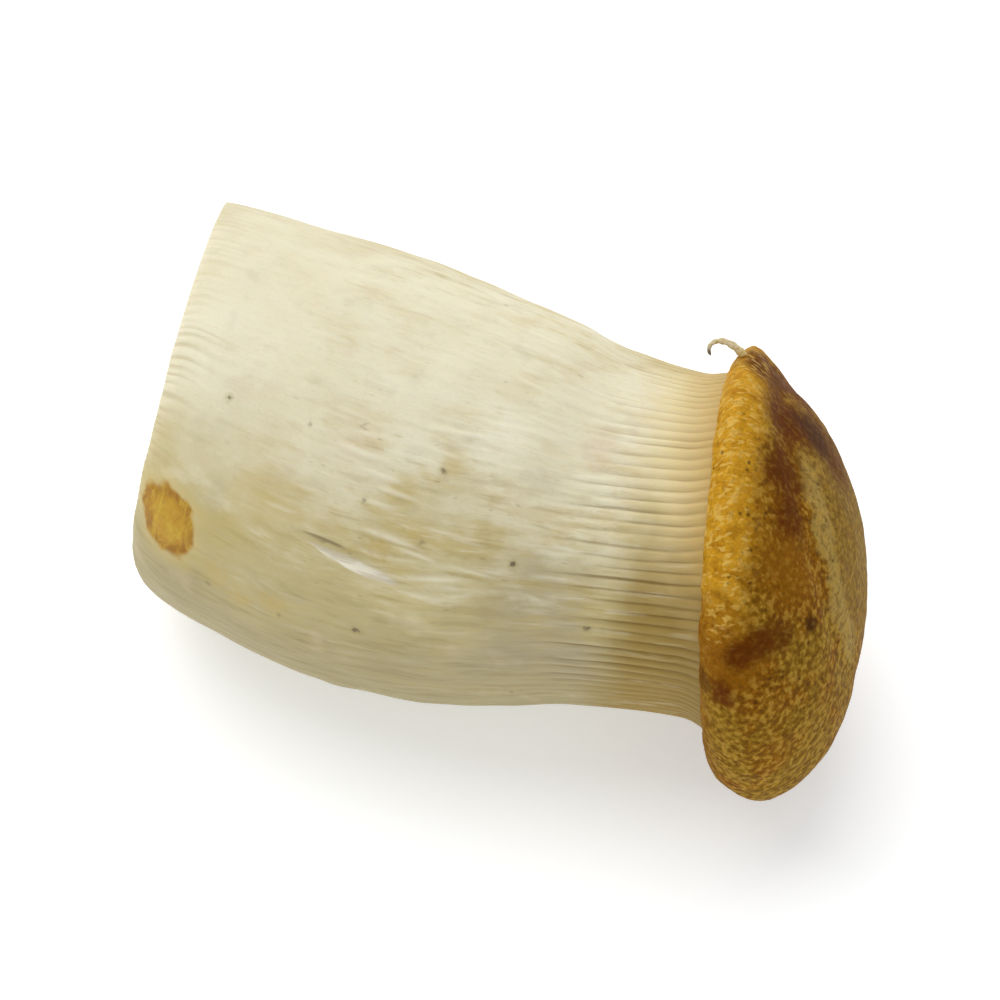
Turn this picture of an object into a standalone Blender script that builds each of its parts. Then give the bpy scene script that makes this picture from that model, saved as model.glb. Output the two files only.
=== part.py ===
"""A king oyster mushroom lying on its side, cut from its cluster: stem, gills and cap grown as one solid.

Metres, +Z up. The stem runs along +X from the knife cut at its foot to the cap. The origin is on the surface
that the mushroom lies on, under the middle of its bounding box.

The outside is one loft through sections. Each section is a lopsided circle, given by its reach on two opposite
sides: the narrow side and the broad side, where the belly of the stem and the overhang of the cap are.
"""

import math
import random

import bmesh
import bpy
import numpy as np
from mathutils import Vector

MM = 0.001

# Sizes in millimetres. Angles in degrees: round a section, 0 is up, 90 is towards -Y and 180 is down.
STEM_AXIS_HEIGHT = 28.0
BROAD_SIDE = 127.0
CAP_CENTRE = (79.0, -0.8, 27.4)
CAP_YAW = 15.4
CAP_PITCH = 6.5
CREASE_ALONG_X = 75.0
FLATTENED_WHERE_IT_LIES = 0.35
CUT_EDGE_ANGLE = 60.0

# The stem from its foot: place along X, reach on the narrow side and on the broad side, yaw and pitch of the section.
# The first one is the knife cut, which is slanted.
STEM_SECTIONS = (
    (0.8, 25.1, 20.0, 7.6, -9.2),
    (1.6, 25.2, 22.6, 7.4, -8.9),
    (3.8, 25.3, 24.8, 6.8, -8.0),
    (8.4, 25.4, 26.8, 5.6, -5.6),
    (15.6, 25.2, 28.2, 3.6, -2.4),
    (27.0, 24.8, 29.9, 2.0, 0.0),
    (41.0, 23.4, 29.0, 2.4, 0.5),
    (51.0, 22.2, 26.4, 3.6, 1.3),
    (58.5, 20.9, 24.0, 5.6, 2.4),
)
# The neck, where the stem flares into the cap, in the cap's own frame: height and reach on the narrow side, then
# height and reach on the broad side. Heights are along the cap's axis from the middle of its rim.
NECK_SECTIONS = (
    (-6.5, 24.1, -9.5, 18.6),
    (-3.2, 24.2, -6.2, 20.5),
)
CREASE = (-2.0, 24.7, -4.7, 21.7)
# The cap from the crease round its rolled rim to the crown, in the same terms
CAP_SECTIONS = (
    CREASE,
    (-2.8, 25.3, -6.1, 22.6),
    (-2.2, 26.5, -6.0, 24.6),
    (-1.2, 27.3, -4.6, 26.9),
    (-0.2, 27.5, -2.0, 28.6),
    (0.9, 26.8, 0.3, 29.0),
    (2.4, 25.2, 3.0, 28.1),
    (4.2, 22.9, 5.7, 26.0),
    (6.4, 20.1, 8.1, 23.2),
    (8.6, 16.9, 10.1, 19.6),
    (10.6, 13.0, 11.7, 14.8),
    (12.1, 8.7, 12.7, 9.6),
    (13.0, 4.4, 13.2, 4.7),
    (13.3, 0.0, 13.3, 0.0),
)

# How fibres and gills run: on the cap they are drawn towards its narrow side, by this share of the radius, and turned
# a little against those of the stem
CAP_FIBRES_DRAWN = 0.12
CAP_FIBRES_TURNED = 4.0

# Unevenness round each section: how many waves, and how deep as a share of the radius
STEM_WAVES = ((2, 0.012), (3, 0.010))
CAP_WAVES = ((2, 0.010), (3, 0.012), (5, 0.006))
FLATTENING = 0.02

# A shallow groove round the crown, which dies out on the far side from where it is deepest, and a small dent beside
# the rim. Their centres are in the cap's own frame: upwards and sideways from its axis.
GROOVE_CENTRE = (3.5, -3.0)
GROOVE_RADIUS = 18.3
GROOVE_WIDTH = 1.9
GROOVE_DEPTH = 0.7
GROOVE_DEEPEST_TOWARDS = 25.0
DENT_CENTRE = (15.8, -18.8)
DENT_WIDTH = 2.4
DENT_DEPTH = 0.6
RIM_LEFT_PLAIN = 2.0

# Gills, which run from under the rim down the neck and die out on the stem at uneven places
GILL_COUNT = 96
GILL_DEPTH = 0.6
GILL_SEED = 7
GILL_ENDS = (52.0, 61.0)
GILL_FADE_LENGTH = 11.0

# Columns of points round the stem, the gilled neck, the cap and its crown, and where along the loft the rings of
# points lie, counted in sections
STEM_COLUMNS = GILL_COUNT // 2
GILL_COLUMNS = GILL_COUNT * 2
CAP_COLUMNS = GILL_COUNT
STEM_RINGS = (0.0, 0.5, 1.0, 1.5, 2.0, 2.5, 3.0, 3.5, 4.0, 4.5, 5.0, 5.4, 5.8, 6.2, 6.6)
BETWEEN_RING = 6.85
GILL_RINGS = (7.1, 7.35, 7.6, 7.85, 8.1, 8.35, 8.6, 8.85, 9.1, 9.35, 9.6, 10.0, 10.5, 11.0)
RIM_RINGS = (0.7, 1.0, 1.5, 2.0, 2.5, 3.0, 3.5, 4.0, 4.5, 5.0, 5.5, 6.0, 6.5, 7.0, 7.4)
DOME_RINGS = (7.8, 8.1, 8.4, 8.7, 9.0, 9.3, 9.6, 10.0)
CROWN_RINGS = (10.4, 10.8, 11.4, 12.0)


def directions(yaw, pitch):
    """A section's axis, up and side directions, each of length 1."""
    yaw, pitch = math.radians(yaw), math.radians(pitch)
    axis = np.array((
        math.cos(pitch) * math.cos(yaw),
        math.cos(pitch) * math.sin(yaw),
        math.sin(pitch),
    ))
    up = np.array((0.0, 0.0, 1.0)) - axis * axis[2]
    up /= np.linalg.norm(up)
    return axis, up, np.cross(axis, up)


def fibre_angles(columns, drawn, turned):
    """Angles round a section at which its fibres pass. drawn crowds them towards the broad side."""
    angles = np.arange(columns) * 2 * math.pi / columns
    return angles + drawn * np.sin(math.radians(BROAD_SIDE) - angles) - math.radians(turned)


def section(origin, yaw, pitch, narrow, broad, waves, angles):
    """One closed section as points. narrow and broad are its height and reach on those two sides."""
    axis, up, side = directions(yaw, pitch)
    from_broad = angles - math.radians(BROAD_SIDE)
    towards = np.cos(from_broad)
    height = (broad[0] + narrow[0]) / 2 + (broad[0] - narrow[0]) / 2 * towards
    reach = (broad[1] + narrow[1]) / 2 + (broad[1] - narrow[1]) / 2 * towards
    unevenness = 1 - FLATTENING * np.sin(from_broad) ** 2
    for count, share in waves:
        unevenness += share * np.sin(count * from_broad)
    outward = np.outer(np.cos(angles), up) + np.outer(np.sin(angles), side)
    return np.array(origin) + np.outer(height, axis) + outward * (reach * unevenness)[:, None]


def stem_section(row, columns):
    """One section of the stem, with its fibres spaced evenly about its true middle."""
    along, narrow, broad, yaw, pitch = row
    origin = (along, 0.0, STEM_AXIS_HEIGHT)
    angles = fibre_angles(columns, max(0.0, (broad - narrow) / (broad + narrow)), 0.0)
    return section(origin, yaw, pitch, (0.0, narrow), (0.0, broad), STEM_WAVES, angles)


def cap_section(row, columns):
    """One section given in the cap's own frame."""
    angles = fibre_angles(columns, -CAP_FIBRES_DRAWN, CAP_FIBRES_TURNED)
    return section(CAP_CENTRE, CAP_YAW, CAP_PITCH, row[:2], row[2:], CAP_WAVES, angles)


def stem_and_neck(columns):
    """The sections from the cut foot to the crease under the cap."""
    stem = [stem_section(row, columns) for row in STEM_SECTIONS]
    return stem + [cap_section(row, columns) for row in NECK_SECTIONS + (CREASE,)]


def loft(sections, place):
    """The ring at place, counted in sections, on smooth curves that pass through all the sections."""
    first = min(int(place), len(sections) - 2)
    share = place - first
    before = sections[max(first - 1, 0)]
    start, end = sections[first], sections[first + 1]
    after = sections[min(first + 2, len(sections) - 1)]
    span = np.linalg.norm(end - start, axis=1)[:, None]
    span_before = np.linalg.norm(start - before, axis=1)[:, None]
    span_after = np.linalg.norm(after - end, axis=1)[:, None]
    leave = (end - before) / (span + span_before) * span
    arrive = (after - start) / (span + span_after) * span
    return (
        (2 * share**3 - 3 * share**2 + 1) * start
        + (share**3 - 2 * share**2 + share) * leave
        + (3 * share**2 - 2 * share**3) * end
        + (share**3 - share**2) * arrive
    )


def gilled(ring):
    """A ring of the neck with its gills raised: crests on even columns, valleys on odd ones."""
    chance = random.Random(GILL_SEED)
    ends = np.repeat([chance.uniform(*GILL_ENDS) for _ in range(GILL_COUNT)], 2)
    strength = np.clip((ring[:, 0] - ends) / GILL_FADE_LENGTH, 0.0, 1.0)
    relief = np.tile((0.5, -0.5), GILL_COUNT) * GILL_DEPTH * strength
    outward = ring - ring.mean(axis=0)
    outward /= np.linalg.norm(outward, axis=1)[:, None]
    return ring + outward * relief[:, None]


def pressed(ring):
    """A ring of the cap with the groove round the crown and the dent pressed in."""
    axis, up, side = directions(CAP_YAW, CAP_PITCH)
    offset = ring - np.array(CAP_CENTRE)
    upwards, sideways = offset @ up, offset @ side
    over, beside = upwards - GROOVE_CENTRE[0], sideways - GROOVE_CENTRE[1]
    from_groove = (np.hypot(over, beside) - GROOVE_RADIUS) / GROOVE_WIDTH
    turned = np.arctan2(beside, over) - math.radians(GROOVE_DEEPEST_TOWARDS)
    groove = GROOVE_DEPTH * (1 + np.cos(turned)) / 2 * np.exp(-from_groove**2)
    from_dent = np.hypot(upwards - DENT_CENTRE[0], sideways - DENT_CENTRE[1]) / DENT_WIDTH
    dent = DENT_DEPTH * np.exp(-from_dent**2)
    above_rim = np.clip(offset @ axis / RIM_LEFT_PLAIN, 0.0, 1.0)
    return ring - np.outer((groove + dent) * above_rim, axis)


def add_ring(bm, ring):
    return [bm.verts.new(Vector(point) * MM) for point in ring]


def join_rings(bm, low, high, material):
    """Faces between two rings with as many points, or one with twice as many as the other."""
    corners = []
    for i in range(min(len(low), len(high))):
        j = (i + 1) % min(len(low), len(high))
        if len(low) == len(high):
            corners.append((low[i], low[j], high[j], high[i]))
        elif len(low) < len(high):
            k, middle, after = 2 * i, 2 * i + 1, (2 * i + 2) % len(high)
            corners.append((low[i], high[middle], high[k]))
            corners.append((low[i], low[j], high[middle]))
            corners.append((low[j], high[after], high[middle]))
        else:
            k, middle, after = 2 * i, 2 * i + 1, (2 * i + 2) % len(low)
            corners.append((low[k], low[middle], high[i]))
            corners.append((low[middle], high[j], high[i]))
            corners.append((low[middle], low[after], high[j]))
    for points in corners:
        face = bm.faces.new(points)
        face.material_index = material
        face.smooth = True


def join_all(bm, rings, material):
    for low, high in zip(rings, rings[1:]):
        join_rings(bm, low, high, material)


def grow_stem(bm):
    """The cut foot, the stem and the gilled neck. Returns the ring of points in the crease."""
    few, more, most = stem_and_neck(STEM_COLUMNS), stem_and_neck(CAP_COLUMNS), stem_and_neck(GILL_COLUMNS)
    rings = [add_ring(bm, loft(few, place)) for place in STEM_RINGS]
    rings.append(add_ring(bm, loft(more, BETWEEN_RING)))
    rings += [add_ring(bm, gilled(loft(most, place))) for place in GILL_RINGS]
    bm.faces.new(list(reversed(rings[0])))
    join_all(bm, rings, material=0)
    return rings[-1]


def grow_cap(bm, crease):
    """The rolled rim and the dome, closed at the crown."""
    sections = [cap_section(row, CAP_COLUMNS) for row in CAP_SECTIONS]
    rings = [crease]
    rings += [add_ring(bm, pressed(loft(sections, place))) for place in RIM_RINGS + DOME_RINGS]
    rings += [add_ring(bm, pressed(loft(sections, place))[::2]) for place in CROWN_RINGS]
    join_all(bm, rings, material=1)
    crown = bm.verts.new(Vector(sections[-1][0]) * MM)
    last = rings[-1]
    for i in range(len(last)):
        face = bm.faces.new((last[i], last[(i + 1) % len(last)], crown))
        face.material_index = 1
        face.smooth = True


def lay_down(bm):
    """Flattens the belly and the rim where they rest, and puts the origin under the middle of the mushroom."""
    lowest = min(vert.co.z for vert in bm.verts)
    bmesh.ops.translate(bm, verts=bm.verts[:], vec=(0, 0, -lowest - FLATTENED_WHERE_IT_LIES * MM))
    cut = bmesh.ops.bisect_plane(
        bm,
        geom=bm.verts[:] + bm.edges[:] + bm.faces[:],
        plane_co=(0, 0, 0),
        plane_no=(0, 0, -1),
        clear_outer=True,
    )
    outlines = [part for part in cut["geom_cut"] if isinstance(part, bmesh.types.BMEdge)]
    for flat in bmesh.ops.edgeloop_fill(bm, edges=outlines)["faces"]:
        flat.material_index = 1 if flat.calc_center_median().x > CREASE_ALONG_X * MM else 0
    places = np.array([vert.co for vert in bm.verts])
    middle = (places.min(axis=0) + places.max(axis=0)) / 2
    bmesh.ops.translate(bm, verts=bm.verts[:], vec=(-middle[0], -middle[1], 0))


def surface(name, colour, roughness):
    material = bpy.data.materials.new(name)
    material.use_nodes = True
    shader = material.node_tree.nodes["Principled BSDF"]
    shader.inputs["Base Color"].default_value = (*colour, 1.0)
    shader.inputs["Roughness"].default_value = roughness
    shader.inputs["Metallic"].default_value = 0.0
    material.diffuse_color = (*colour, 1.0)
    return material


def grow_mushroom():
    bm = bmesh.new()
    crease = grow_stem(bm)
    grow_cap(bm, crease)
    lay_down(bm)
    bmesh.ops.recalc_face_normals(bm, faces=bm.faces[:])
    mesh = bpy.data.meshes.new("king_oyster_mushroom")
    bm.to_mesh(mesh)
    bm.free()
    mesh.materials.append(surface("cream_flesh", (0.80, 0.72, 0.50), 0.55))
    mesh.materials.append(surface("brown_cap_skin", (0.36, 0.19, 0.045), 0.60))
    mesh.set_sharp_from_angle(angle=math.radians(CUT_EDGE_ANGLE))
    body = bpy.data.objects.new("king_oyster_mushroom", mesh)
    bpy.context.scene.collection.objects.link(body)


def clear_scene():
    for obj in list(bpy.data.objects):
        bpy.data.objects.remove(obj)


clear_scene()
grow_mushroom()
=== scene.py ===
"""A king oyster mushroom lying on its side, with its gills, torn fibres, bruise and mottled cap skin.

The outside is lofted through the same sections as the solid, on a finer grid of points, and its relief is
worked out at each point. Lengths are in millimetres until the mesh is made. Angles round the stem and the
cap are in degrees: 0 is up and 90 faces -Y.
"""

import math
import random

import bpy
import numpy as np
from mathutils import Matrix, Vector


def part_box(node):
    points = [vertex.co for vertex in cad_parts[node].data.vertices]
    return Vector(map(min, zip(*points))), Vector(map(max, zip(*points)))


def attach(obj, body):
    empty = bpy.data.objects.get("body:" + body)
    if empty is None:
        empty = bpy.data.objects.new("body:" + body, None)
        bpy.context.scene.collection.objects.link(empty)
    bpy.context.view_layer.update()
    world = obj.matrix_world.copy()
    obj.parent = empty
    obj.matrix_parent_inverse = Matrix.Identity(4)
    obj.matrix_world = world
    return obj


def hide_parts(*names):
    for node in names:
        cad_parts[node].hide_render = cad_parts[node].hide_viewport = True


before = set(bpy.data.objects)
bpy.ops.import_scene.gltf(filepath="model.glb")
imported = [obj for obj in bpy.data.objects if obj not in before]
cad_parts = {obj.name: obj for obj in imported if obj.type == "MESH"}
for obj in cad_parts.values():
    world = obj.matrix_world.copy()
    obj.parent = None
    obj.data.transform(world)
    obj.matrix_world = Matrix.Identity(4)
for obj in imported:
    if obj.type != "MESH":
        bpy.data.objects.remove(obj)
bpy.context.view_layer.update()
NODE = "king_oyster_mushroom"
MM = 0.001
TURN = 2 * math.pi

# The sections of the solid: place along X, reach on the narrow and the broad side, yaw and pitch
STEM_AXIS_HEIGHT = 28.0
STEM_RADIUS = 26.0
LINE_RADIUS = 26.5
GRAIN_RADIUS = 25.0
BROAD_SIDE = 127.0
STEM_SECTIONS = (
    (0.8, 25.1, 20.0, 7.6, -9.2),
    (1.6, 25.2, 22.6, 7.4, -8.9),
    (3.8, 25.3, 24.8, 6.8, -8.0),
    (8.4, 25.4, 26.8, 5.6, -5.6),
    (15.6, 25.2, 28.2, 3.6, -2.4),
    (27.0, 24.8, 29.9, 2.0, 0.0),
    (41.0, 23.4, 29.0, 2.4, 0.5),
    (51.0, 22.2, 26.4, 3.6, 1.3),
    (58.5, 20.9, 24.0, 5.6, 2.4),
)
# Neck and cap in the cap's own frame: height and reach on the narrow side, then on the broad side
CAP_CENTRE = (79.0, -0.8, 27.4)
CAP_YAW = 15.4
CAP_PITCH = 6.5
NECK_SECTIONS = ((-6.5, 24.1, -9.5, 18.6), (-3.2, 24.2, -6.2, 20.5))
CREASE = (-2.0, 24.7, -4.7, 21.7)
CAP_SECTIONS = (
    CREASE,
    (-2.8, 25.3, -6.1, 22.6),
    (-2.2, 26.5, -6.0, 24.6),
    (-1.2, 27.3, -4.6, 26.9),
    (-0.2, 27.5, -2.0, 28.6),
    (0.9, 26.8, 0.3, 29.0),
    (2.4, 25.2, 3.0, 28.1),
    (4.2, 22.9, 5.7, 26.0),
    (6.4, 20.1, 8.1, 23.2),
    (8.6, 16.9, 10.1, 19.6),
    (10.6, 13.0, 11.7, 14.8),
    (12.1, 8.7, 12.7, 9.6),
    (13.0, 4.4, 13.2, 4.7),
    (13.3, 0.0, 13.3, 0.0),
)
CAP_FIBRES_DRAWN = 0.12
CAP_FIBRES_TURNED = 4.0
STEM_WAVES = ((2, 0.012), (3, 0.010))
CAP_WAVES = ((2, 0.010), (3, 0.012), (5, 0.006))
FLATTENING = 0.02
FLATTENED_WHERE_IT_LIES = 0.35

# Gills, and the groove and dent in the cap, as on the solid
GILL_COUNT = 96
GILL_DEPTH = 0.6
GILL_SEED = 7
GILL_ENDS = (52.0, 61.0)
GILL_DEPTH_SHARES = (0.7, 0.95)
GILL_FADE_LENGTH = 11.0
GROOVE_CENTRE = (3.5, -3.0)
GROOVE_RADIUS = 18.3
GROOVE_WIDTH = 1.9
GROOVE_DEPTH = 0.7
GROOVE_DEEPEST_TOWARDS = 25.0
DENT_CENTRE = (15.8, -18.8)
DENT_WIDTH = 2.4
DENT_DEPTH = 0.6
RIM_LEFT_PLAIN = 2.0

# The fine grid: the parts of the skin, points round a full ring, and the distance between rings
FOOT, STEM, CAP = 0, 1, 2
COLUMNS = GILL_COUNT * 6
COARSE = 24
STEM_STEP = 1.0
GILL_STEP = 0.8
GILLS_FROM_SECTION = 6
CAP_STEP = 0.56
FOOT_STEP = 0.75
FOOT_EDGE = 0.012
FIRST_STEM_STEP = 0.35

# Marks on the stem: place along X and angle round the stem, then sizes
BRUISE = (9.7, 75.0)
BRUISE_HALF = (4.1, 5.2)
BRUISE_SQUARENESS = 2.4
SLIT = ((26.0, 61.8), (34.8, 64.5))
SLIT_HALF_WIDTH = 0.27
SLIT_DEPTH = 0.42
FLAP = ((27.2, 63.6), (41.0, 69.8))
FLAP_HALF_WIDTH = 0.95
FLAP_HEIGHT = 0.42
# Stains: along X, angle and radius. Specks: along X, angle, radius and strength
STAINS = (
    (16.8, 85.0, 2.6), (25.6, 87.0, 2.2), (20.5, 90.0, 1.8), (37.5, 62.0, 1.6), (57.0, 200.0, 4.0),
    (22.0, 300.0, 3.0),
)
SPECKS = (
    (15.1, 34.0, 0.42, 0.7), (26.2, 35.0, 0.28, 0.3), (43.4, 37.0, 0.50, 0.65), (34.7, 50.0, 0.45, 0.4),
    (42.8, 57.0, 0.55, 0.35), (54.2, 58.0, 0.50, 0.8), (36.5, 88.0, 0.62, 0.95), (63.4, 75.0, 0.60, 0.75),
    (54.7, 111.0, 0.45, 0.4), (16.4, 90.0, 0.60, 0.3), (26.0, 90.0, 0.45, 0.35), (33.0, 150.0, 0.55, 0.5),
    (20.0, 210.0, 0.50, 0.6), (48.0, 250.0, 0.60, 0.8), (29.0, 305.0, 0.45, 0.5), (12.0, 265.0, 0.40, 0.7),
    (41.0, 330.0, 0.35, 0.4),
)
# Raised torn fibres: along X and angle where each starts, its length, its turn, half width and height
FIBRES = (
    (39.9, 27.0, 7.0, -2.0, 0.42, 0.25), (43.0, 29.5, 5.0, -1.2, 0.26, 0.14),
    (30.0, 38.0, 6.0, 1.0, 0.40, 0.25), (33.0, 42.0, 6.0, 1.4, 0.28, 0.18),
    (35.6, 46.0, 5.5, 0.6, 0.24, 0.16), (35.5, 57.0, 6.7, 2.0, 0.38, 0.25),
    (39.6, 60.0, 5.5, 1.8, 0.24, 0.16), (40.9, 68.0, 7.0, -2.6, 0.36, 0.25),
    (47.0, 3.0, 5.0, 1.5, 0.28, 0.12), (50.0, 14.0, 5.0, 1.5, 0.28, 0.12),
    (44.0, 20.0, 5.5, 0.0, 0.26, 0.12), (46.5, 62.0, 5.5, 1.4, 0.24, 0.12),
)
FIBRE_SEED = 11
LOOSE_FIBRES = 110

# Ridges beside the knife cut, strongest towards one angle, and the cut face
FRINGE_RIDGES = 124
FRINGE_REACH = 5.0
FRINGE_HEIGHT = 0.08
FRINGE_TOWARDS = 50.0
FOOT_RADIUS = 22.0
FOOT_HOLLOW = 0.45
KNIFE_MARK_DEPTH = 0.10
KNIFE_DIRECTION = (0.94, 0.34)


def directions(yaw, pitch):
    """A section's axis, up and side directions, each of length 1."""
    yaw, pitch = math.radians(yaw), math.radians(pitch)
    axis = np.array((math.cos(pitch) * math.cos(yaw), math.cos(pitch) * math.sin(yaw), math.sin(pitch)))
    up = np.array((0.0, 0.0, 1.0)) - axis * axis[2]
    up /= np.linalg.norm(up)
    return axis, up, np.cross(axis, up)


def fibre_angles(columns, drawn, turned):
    """Angles round a section at which its fibres pass. drawn crowds them towards the broad side."""
    angles = np.arange(columns) * TURN / columns
    return angles + drawn * np.sin(math.radians(BROAD_SIDE) - angles) - math.radians(turned)


def section(origin, yaw, pitch, narrow, broad, waves, angles):
    """One closed section as points. narrow and broad are its height and reach on those two sides."""
    axis, up, side = directions(yaw, pitch)
    from_broad = angles - math.radians(BROAD_SIDE)
    towards = np.cos(from_broad)
    height = (broad[0] + narrow[0]) / 2 + (broad[0] - narrow[0]) / 2 * towards
    reach = (broad[1] + narrow[1]) / 2 + (broad[1] - narrow[1]) / 2 * towards
    unevenness = 1 - FLATTENING * np.sin(from_broad) ** 2
    for count, share in waves:
        unevenness += share * np.sin(count * from_broad)
    outward = np.outer(np.cos(angles), up) + np.outer(np.sin(angles), side)
    return np.array(origin) + np.outer(height, axis) + outward * (reach * unevenness)[:, None]


def stem_section(row, columns):
    along, narrow, broad, yaw, pitch = row
    origin = (along, 0.0, STEM_AXIS_HEIGHT)
    angles = fibre_angles(columns, max(0.0, (broad - narrow) / (broad + narrow)), 0.0)
    return section(origin, yaw, pitch, (0.0, narrow), (0.0, broad), STEM_WAVES, angles)


def cap_section(row, columns):
    angles = fibre_angles(columns, -CAP_FIBRES_DRAWN, CAP_FIBRES_TURNED)
    return section(CAP_CENTRE, CAP_YAW, CAP_PITCH, row[:2], row[2:], CAP_WAVES, angles)


def loft(sections, place):
    """The ring at place, counted in sections, on smooth curves that pass through all the sections."""
    first = min(int(place), len(sections) - 2)
    share = place - first
    before = sections[max(first - 1, 0)]
    start, end = sections[first], sections[first + 1]
    after = sections[min(first + 2, len(sections) - 1)]
    span = np.linalg.norm(end - start, axis=1)[:, None]
    span_before = np.linalg.norm(start - before, axis=1)[:, None]
    span_after = np.linalg.norm(after - end, axis=1)[:, None]
    leave = (end - before) / (span + span_before) * span
    arrive = (after - start) / (span + span_after) * span
    return (
        (2 * share**3 - 3 * share**2 + 1) * start
        + (share**3 - 2 * share**2 + share) * leave
        + (3 * share**2 - 2 * share**3) * end
        + (share**3 - share**2) * arrive
    )


def noise(points, seed):
    """Smooth random values from -1 to 1, with bumps about one unit of length across."""
    cell = np.floor(points).astype(np.int64)
    share = points - cell
    ease = share * share * share * (share * (share * 6 - 15) + 10)
    total = np.zeros(len(points))
    for corner in range(8):
        step = np.array((corner & 1, corner >> 1 & 1, corner >> 2 & 1))
        # Large primes scramble the corner's place into a value of its own
        key = (cell + step) @ np.array((73856093, 19349663, 83492791)) + seed * 40503
        key = (key ^ (key >> 13)) * 1274126177 & 0x7FFFFFFF
        key = (key ^ (key >> 15)) * 668265263 & 0x7FFFFFFF
        value = (key >> 7 & 0xFFFF) / 32767.5 - 1
        total += value * np.prod(np.where(step, ease, 1 - ease), axis=1)
    return total


def swell(value, low, high):
    """Rises smoothly from 0 at low to 1 at high."""
    share = np.clip((value - low) / (high - low), 0.0, 1.0)
    return share * share * (3 - 2 * share)


def spaced(sections, first, last, step):
    """Places from first to last whose rings lie about step apart."""
    places = np.linspace(first, last, 300)
    rings = np.array([loft(sections, place) for place in places])
    walked = np.linalg.norm(np.diff(rings, axis=0), axis=2).mean(axis=1).cumsum()
    walked = np.concatenate(((0.0,), walked))
    count = max(3, round(walked[-1] / step) + 1)
    return np.interp(np.linspace(0.0, walked[-1], count), walked, places)


def faces_between(few, count, many, total):
    """Faces from a ring of count points to one of as many, twice as many, or any number if count is 1."""
    if count == 1:
        return [(few, many + (i + 1) % total, many + i) for i in range(total)]
    faces = []
    for i in range(count):
        here, there = few + i, few + (i + 1) % count
        if count == total:
            faces.append((here, there, many + (i + 1) % total, many + i))
        else:
            k, beyond = many + 2 * i, many + (2 * i + 2) % total
            faces += [(here, k + 1, k), (here, there, k + 1), (there, beyond, k + 1)]
    return faces


class Skin:
    """Points of the whole outside, ring after ring from the middle of the cut foot to the cap's crown.

    walked is the distance along the skin from the foot's edge, angle is the one that the fibres follow, and
    around is the one that marks are placed by. grain is a place in a frame that runs along the fibres.
    """

    def __init__(self):
        self.points, self.angle, self.walked, self.kind, self.counts = [], [], [], [], []

    def add(self, ring, walked, kind, columns):
        every = COLUMNS // columns
        self.points.append(ring[::every])
        self.walked.append(np.broadcast_to(walked, COLUMNS)[::every])
        self.angle.append(np.arange(columns) * TURN / columns)
        self.kind.append(np.full(columns, kind))
        self.counts.append(columns)

    def add_tip(self, point, walked, kind):
        self.points.append(point[None])
        self.walked.append(np.array((walked,)))
        self.angle.append(np.zeros(1))
        self.kind.append(np.array((kind,)))
        self.counts.append(1)

    def join(self, walked_to_crease):
        self.points = np.concatenate(self.points)
        self.angle = np.concatenate(self.angle)
        self.walked = np.concatenate(self.walked)
        self.kind = np.concatenate(self.kind)
        self.along = self.points[:, 0]
        self.around = np.arctan2(-self.points[:, 1], self.points[:, 2] - STEM_AXIS_HEIGHT)
        column = np.rint(self.angle / TURN * COLUMNS).astype(int) % COLUMNS
        self.past_crease = self.walked - walked_to_crease[column]
        across = GRAIN_RADIUS * np.cos(self.angle), GRAIN_RADIUS * np.sin(self.angle)
        self.grain = np.stack((self.walked, *across), axis=1)
        axis, up, side = directions(CAP_YAW, CAP_PITCH)
        offset = self.points - np.array(CAP_CENTRE)
        self.cap_place = np.stack((offset @ up, offset @ side, offset @ axis), axis=1)

    def faces(self):
        """Quads between rings of as many points, triangles where the count halves or ends in one point."""
        faces, first = [], 0
        for low, high in zip(self.counts, self.counts[1:]):
            second = first + low
            if low <= high:
                faces += faces_between(first, low, second, high)
            else:
                faces += [face[::-1] for face in faces_between(second, high, first, low)]
            first = second
        return faces


def columns_for(radius):
    """Fewer points round the rings near the middle of the foot and of the cap."""
    for limit, share in ((12.0, 1), (6.0, 2), (3.0, 4), (1.5, 8)):
        if radius > limit:
            return COLUMNS // share
    return COLUMNS // 16


def grow():
    """The whole outside without its relief."""
    skin = Skin()
    stem = [stem_section(row, COLUMNS) for row in STEM_SECTIONS]
    stem += [cap_section(row, COLUMNS) for row in NECK_SECTIONS + (CREASE,)]
    grow_foot(skin, stem[0])
    walked = grow_stem(skin, stem)
    grow_cap(skin, stem[-1], walked)
    skin.join(walked)
    return skin


def grow_foot(skin, edge):
    """The flat cut face, from its middle out to its edge."""
    middle = edge.mean(axis=0)
    radius = np.linalg.norm(edge - middle, axis=1)
    skin.add_tip(middle, -radius.mean(), FOOT)
    steps = round(radius.mean() / FOOT_STEP)
    for i in range(1, steps):
        share = i / steps
        columns = columns_for(share * radius.mean())
        skin.add(middle + (edge - middle) * share, (share - 1) * radius, FOOT, columns)
    skin.add(middle + (edge - middle) * (1 - FOOT_EDGE), -FOOT_EDGE * radius, FOOT, COLUMNS)


def grow_stem(skin, sections):
    """The stem and the neck up to the crease. Returns how far each column has walked by then."""
    coarse = [ring[::COARSE] for ring in sections]
    plain = spaced(coarse, 0, GILLS_FROM_SECTION, STEM_STEP)
    gilled = spaced(coarse, GILLS_FROM_SECTION, len(sections) - 1, GILL_STEP)
    walked, last = np.zeros(COLUMNS), sections[0]
    for place in (plain[0], FIRST_STEM_STEP * plain[1], *plain[1:], *gilled[1:]):
        ring = loft(sections, place)
        walked = walked + np.linalg.norm(ring - last, axis=1)
        skin.add(ring, walked, STEM, COLUMNS)
        last = ring
    return walked


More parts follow.
